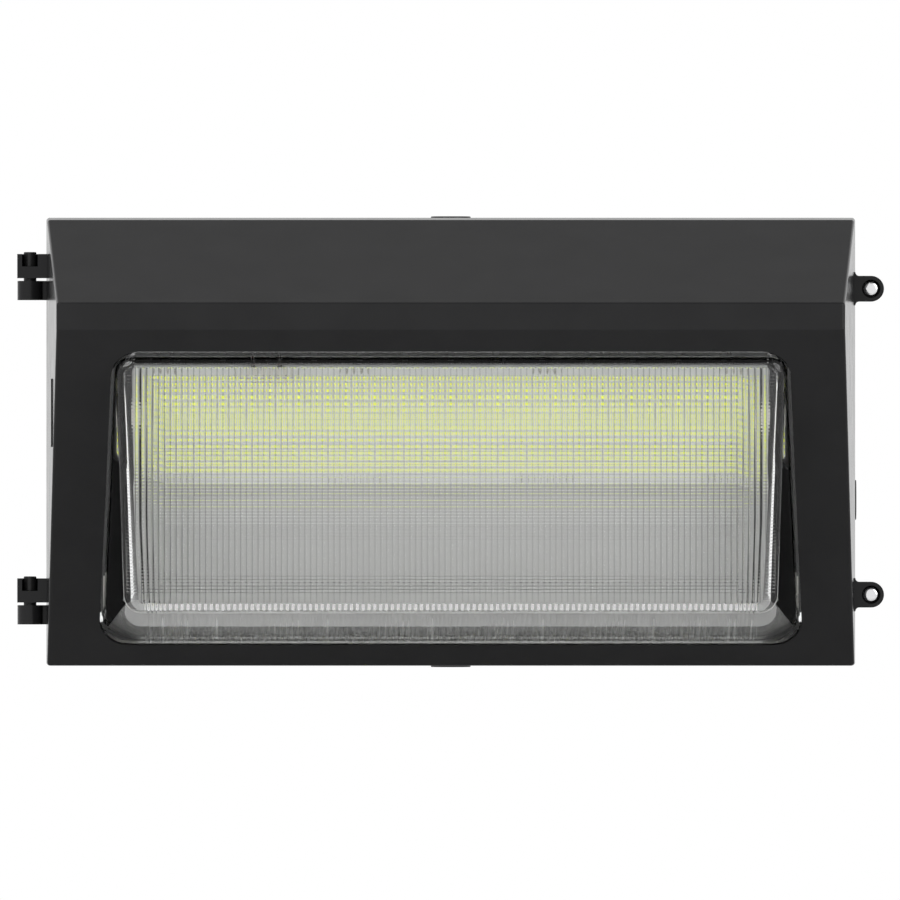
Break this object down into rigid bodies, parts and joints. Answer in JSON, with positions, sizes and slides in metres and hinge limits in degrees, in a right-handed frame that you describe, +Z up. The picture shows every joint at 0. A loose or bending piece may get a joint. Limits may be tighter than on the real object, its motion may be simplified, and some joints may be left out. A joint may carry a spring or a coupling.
{
  "type": "wall pack light",
  "caption": "Outdoor wall pack light with a hinged sloping door, wedge-shaped prismatic lens and closure plugs, held shut by captive screws.",
  "frame": {"origin": "centre of the four wall-fixing holes, in the plane of the flat back face", "axes": "+X to the right seen from the front, +Z up, -Y out of the wall towards the viewer"},
  "size_m": [0.4585, 0.19, 0.239],
  "materials": {
    "powder_coat": "satin",
    "gasket": "matte",
    "zinc_steel": "satin",
    "chrome_screw": "polished",
    "plug_metal": "satin",
    "driver_case": "satin",
    "black_plastic": "matte",
    "nut_orange": "matte",
    "wire_black": "satin",
    "wire_red": "satin",
    "wire_green": "satin",
    "bare_aluminium": "satin",
    "board_white": "satin",
    "led_phosphor": "satin",
    "connector_white": "satin",
    "white_sheet": "satin",
    "lens_glass": "gloss",
    "spring_steel": "satin"
  },
  "bodies": {
    "housing": {"back_housing": "powder_coat", "door_gasket": "gasket", "hinge_bushes": "zinc_steel", "hinge_pins": "zinc_steel", "closure_plugs": "plug_metal", "plug_seals": "gasket", "led_driver": "driver_case", "driver_screws": "zinc_steel", "surge_protector": "black_plastic", "wire_nuts": "nut_orange", "driver_leads": "wire_black", "surge_leads": "wire_black", "ground_lead": "wire_green", "ground_screw": "zinc_steel", "led_leads": "wire_red", "bracket_left": "zinc_steel", "bracket_right": "zinc_steel", "bracket_screws": "zinc_steel", "led_plate": "bare_aluminium", "plate_screws": "zinc_steel", "led_board": "board_white", "leds": "led_phosphor", "board_screws": "zinc_steel", "board_connectors": "connector_white", "reflector": "white_sheet", "reflector_screws": "zinc_steel", "reflector_clips": "connector_white"},
    "door": {"front_door": "powder_coat", "lens": "lens_glass", "lens_gasket": "gasket", "lens_clips": "spring_steel", "lens_clip_screws": "zinc_steel"},
    "screw_upper": {"door_screw_upper": "chrome_screw", "captive_ring_upper": "spring_steel"},
    "screw_lower": {"door_screw_lower": "chrome_screw", "captive_ring_lower": "spring_steel"}
  },
  "joints": [
    {"name": "door_swing", "type": "hinge", "parent": "housing", "child": "door", "pos_m": [-0.22265, -0.0585, 0], "axis": [0, 0, -1], "range_deg": [0, 105]},
    {"name": "screw_upper_draw", "type": "slide", "parent": "door", "child": "screw_upper", "axis": [0, -1, 0], "range_m": [0, 0.0062]},
    {"name": "screw_lower_draw", "type": "slide", "parent": "door", "child": "screw_lower", "axis": [0, -1, 0], "range_m": [0, 0.0062]}
  ]
}
